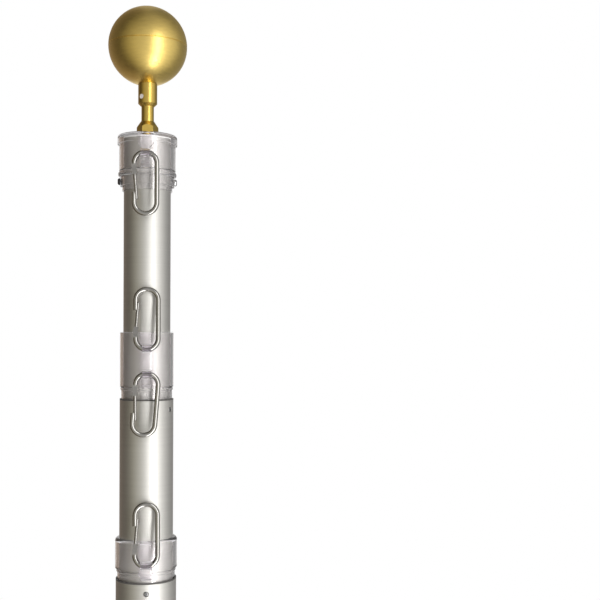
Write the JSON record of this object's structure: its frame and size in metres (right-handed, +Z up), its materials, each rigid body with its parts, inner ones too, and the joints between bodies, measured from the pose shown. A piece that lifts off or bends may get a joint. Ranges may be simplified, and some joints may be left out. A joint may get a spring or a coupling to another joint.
{
  "type": "flagpole",
  "caption": "Telescoping aluminium flagpole, lowered, with clear swivel rings that carry wire snap hooks and a gold ball finial.",
  "frame": {"origin": "middle of the bottom face of the base tube, on the ground", "axes": "+Z up along the pole, hooks on the front side at -Y, gates of the hooks towards -X"},
  "size_m": [0.0746, 0.0795, 1.7939],
  "materials": {
    "tube_aluminium": "satin anodised with fine turned lines",
    "clear_plastic": "clear moulded, faint grey violet tint",
    "white_nylon": "moulded",
    "black_rubber": "moulded",
    "hook_steel": "polished stainless",
    "dark_screw": "black oxide",
    "gold_metal": "satin gold anodised",
    "plated_steel": "zinc plated"
  },
  "bodies": {
    "base_section": {"base_tube": "tube_aluminium", "base_plug": "white_nylon", "base_bushing": "clear_plastic", "base_gasket": "black_rubber", "base_bushing_screws": "dark_screw"},
    "mid_section": {"mid_tube": "tube_aluminium", "mid_foot": "white_nylon", "mid_bushing": "clear_plastic", "mid_gasket": "black_rubber", "mid_bushing_screws": "dark_screw"},
    "top_section": {"top_tube": "tube_aluminium", "top_foot": "white_nylon", "top_plug": "white_nylon", "retaining_collar": "clear_plastic", "collar_screws": "dark_screw", "finial_spindle": "gold_metal", "spindle_washer": "plated_steel", "spindle_nut": "gold_metal", "finial_neck": "gold_metal", "neck_set_screw": "dark_screw", "ball_lower_half": "gold_metal", "ball_upper_half": "gold_metal"},
    "low_ring": {"low_ring": "clear_plastic"},
    "mid_ring": {"mid_ring": "clear_plastic"},
    "cap_ring": {"cap_ring": "clear_plastic"},
    "top_hook": {"top_hook_wire": "hook_steel", "top_hook_rivet": "hook_steel"},
    "top_hook_gate": {"top_hook_gate": "hook_steel"},
    "mid_upper_hook": {"mid_upper_hook_wire": "hook_steel", "mid_upper_hook_rivet": "hook_steel"},
    "mid_upper_hook_gate": {"mid_upper_hook_gate": "hook_steel"},
    "mid_lower_hook": {"mid_lower_hook_wire": "hook_steel", "mid_lower_hook_rivet": "hook_steel"},
    "mid_lower_hook_gate": {"mid_lower_hook_gate": "hook_steel"},
    "low_hook": {"low_hook_wire": "hook_steel", "low_hook_rivet": "hook_steel"},
    "low_hook_gate": {"low_hook_gate": "hook_steel"}
  },
  "joints": [
    {"name": "raise_mid", "type": "slide", "parent": "base_section", "child": "mid_section", "axis": [0, 0, 1], "range_m": [0, 1.06]},
    {"name": "raise_top", "type": "slide", "parent": "mid_section", "child": "top_section", "axis": [0, 0, 1], "range_m": [0, 1.19]},
    {"name": "turn_low_ring", "type": "hinge", "parent": "base_section", "child": "low_ring", "pos_m": [0, 0, 1.2589], "axis": [0, 0, 1], "continuous": true},
    {"name": "turn_mid_ring", "type": "hinge", "parent": "mid_section", "child": "mid_ring", "pos_m": [0, 0, 1.4309], "axis": [0, 0, 1], "continuous": true},
    {"name": "turn_cap_ring", "type": "hinge", "parent": "top_section", "child": "cap_ring", "pos_m": [0, 0, 1.6366], "axis": [0, 0, 1], "continuous": true},
    {"name": "swing_top_hook", "type": "hinge", "parent": "cap_ring", "child": "top_hook", "pos_m": [-0.00178, -0.03398, 1.64879], "axis": [-0.9986, 0.0523, 0], "range_deg": [-9, 190]},
    {"name": "open_top_hook_gate", "type": "hinge", "parent": "top_hook", "child": "top_hook_gate", "pos_m": [-0.01217, -0.03343, 1.63469], "axis": [0.0523, 0.9986, 0], "range_deg": [-25, 0], "stiffness_Nm_per_rad": 0.06, "springref_deg": 20.05},
    {"name": "swing_mid_upper_hook", "type": "hinge", "parent": "mid_ring", "child": "mid_upper_hook", "pos_m": [0, -0.03272, 1.46809], "axis": [1, 0, 0], "range_deg": [0, 177]},
    {"name": "open_mid_upper_hook_gate", "type": "hinge", "parent": "mid_upper_hook", "child": "mid_upper_hook_gate", "pos_m": [-0.0104, -0.03073, 1.48206], "axis": [0, -0.99, 0.1413], "range_deg": [-25, 0], "stiffness_Nm_per_rad": 0.06, "springref_deg": 20.05},
    {"name": "swing_mid_lower_hook", "type": "hinge", "parent": "mid_ring", "child": "mid_lower_hook", "pos_m": [0, -0.03272, 1.44389], "axis": [1, 0, 0], "range_deg": [-169, 4.5]},
    {"name": "open_mid_lower_hook_gate", "type": "hinge", "parent": "mid_lower_hook", "child": "mid_lower_hook_gate", "pos_m": [-0.01072, -0.03272, 1.4306], "axis": [0, -1, 0], "range_deg": [0, 25], "stiffness_Nm_per_rad": 0.06, "springref_deg": -20.05},
    {"name": "swing_low_hook", "type": "hinge", "parent": "low_ring", "child": "low_hook", "pos_m": [0, -0.03665, 1.26809], "axis": [1, 0, 0], "range_deg": [0, 194]},
    {"name": "open_low_hook_gate", "type": "hinge", "parent": "low_hook", "child": "low_hook_gate", "pos_m": [-0.0104, -0.03447, 1.28203], "axis": [0, 0.988, -0.1547], "range_deg": [0, 25], "stiffness_Nm_per_rad": 0.06, "springref_deg": -20.05}
  ]
}
